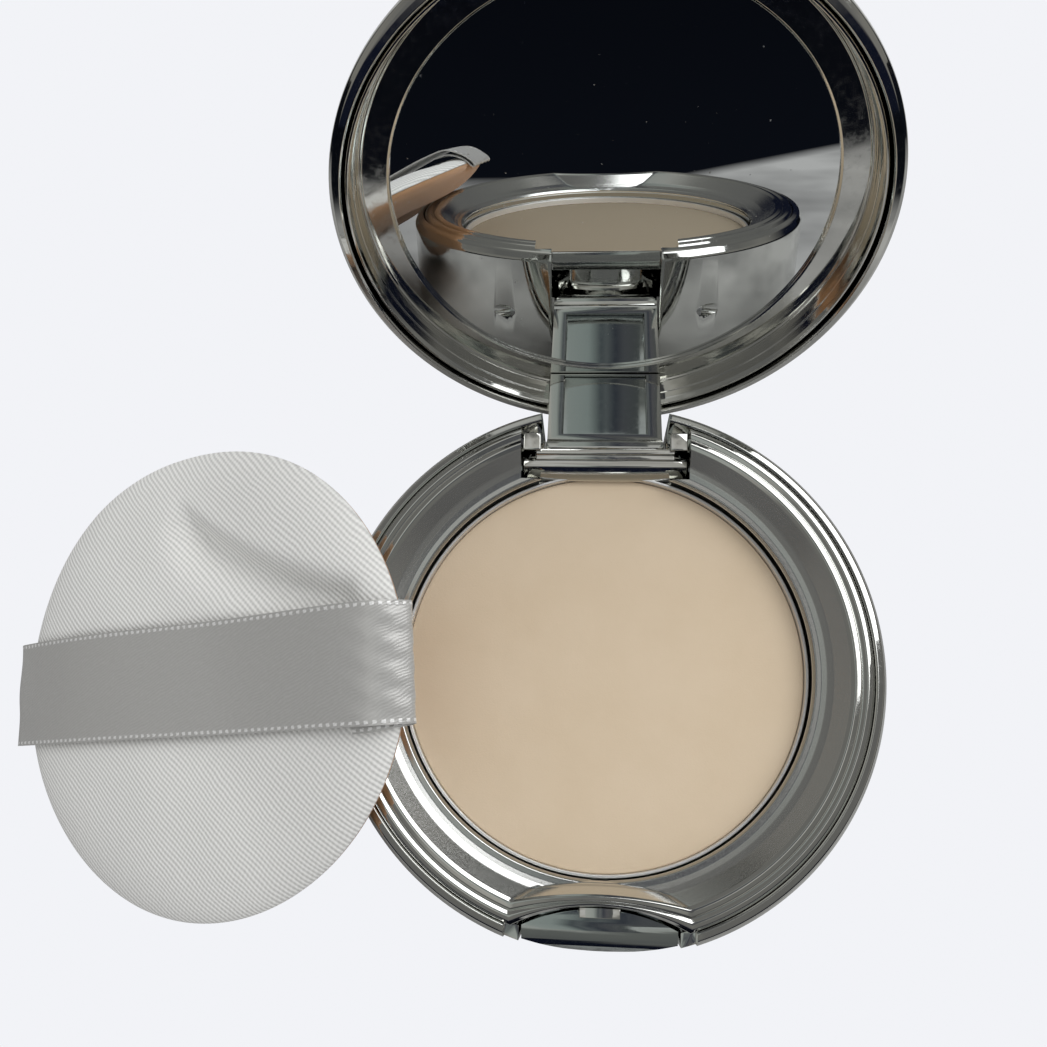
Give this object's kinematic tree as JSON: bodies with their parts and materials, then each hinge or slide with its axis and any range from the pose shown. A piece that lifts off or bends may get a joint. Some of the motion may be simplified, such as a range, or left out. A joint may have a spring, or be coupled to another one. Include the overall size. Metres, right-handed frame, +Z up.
{
  "type": "powder compact",
  "caption": "Round pressed-powder compact with a swung-open mirrored lid, push-button catch and a ribboned puff leaning on its rim",
  "frame": {"origin": "centre of the base's flat underside", "axes": "+Z up out of the powder pan, +Y towards the lid hinge, +X along the hinge pin to the right as seen from the push button"},
  "size_m": [0.1324, 0.1139, 0.0706],
  "materials": {
    "base_shell": "gloss",
    "base_tray": "gloss",
    "hinge_cover": "gloss",
    "powder_pan": "satin",
    "powder_cake": "matte",
    "pan_adhesive": "matte",
    "base_label": "matte",
    "hinge_pin": "satin",
    "hinge_washer_left": "matte",
    "hinge_washer_right": "matte",
    "latch_spring": "satin",
    "lid_shell": "gloss",
    "arm_panel": "gloss",
    "lid_frame": "gloss",
    "latch_hook": "gloss",
    "mirror_glass": "polished",
    "mirror_adhesive": "matte",
    "push_button": "gloss",
    "latch_catch": "gloss",
    "puff_face": "matte",
    "puff_filling": "matte",
    "puff_base": "matte",
    "puff_ribbon": "satin"
  },
  "bodies": {
    "base": {"base_shell": "base_shell", "base_tray": "base_tray", "hinge_cover": "hinge_cover", "powder_pan": "powder_pan", "powder_cake": "powder_cake", "pan_adhesive": "pan_adhesive", "base_label": "base_label", "hinge_pin": "hinge_pin", "hinge_washer_left": "hinge_washer_left", "hinge_washer_right": "hinge_washer_right", "latch_spring": "latch_spring"},
    "lid": {"lid_shell": "lid_shell", "arm_panel": "arm_panel", "lid_frame": "lid_frame", "latch_hook": "latch_hook", "mirror_glass": "mirror_glass", "mirror_adhesive": "mirror_adhesive"},
    "button": {"push_button": "push_button", "latch_catch": "latch_catch"},
    "puff": {"puff_face": "puff_face", "puff_filling": "puff_filling", "puff_base": "puff_base", "puff_ribbon": "puff_ribbon"}
  },
  "joints": [
    {"name": "lid_hinge", "type": "hinge", "parent": "base", "child": "lid", "pos_m": [0, 0.03306, 0.0102], "axis": [-1, 0, 0], "range_deg": [-112.5, 0]},
    {"name": "button_press", "type": "slide", "parent": "base", "child": "button", "axis": [0, 1, 0], "range_m": [0, 0.00055], "stiffness_N_per_m": 800, "springref_m": -0.001},
    {"name": "puff_aside", "type": "slide", "parent": "base", "child": "puff", "axis": [-1, 0, 0], "range_m": [0, 0.02]}
  ],
  "couplings": [
    {"joint": "puff_aside", "follows": "lid_hinge", "m_per_rad": -0.01}
  ]
}
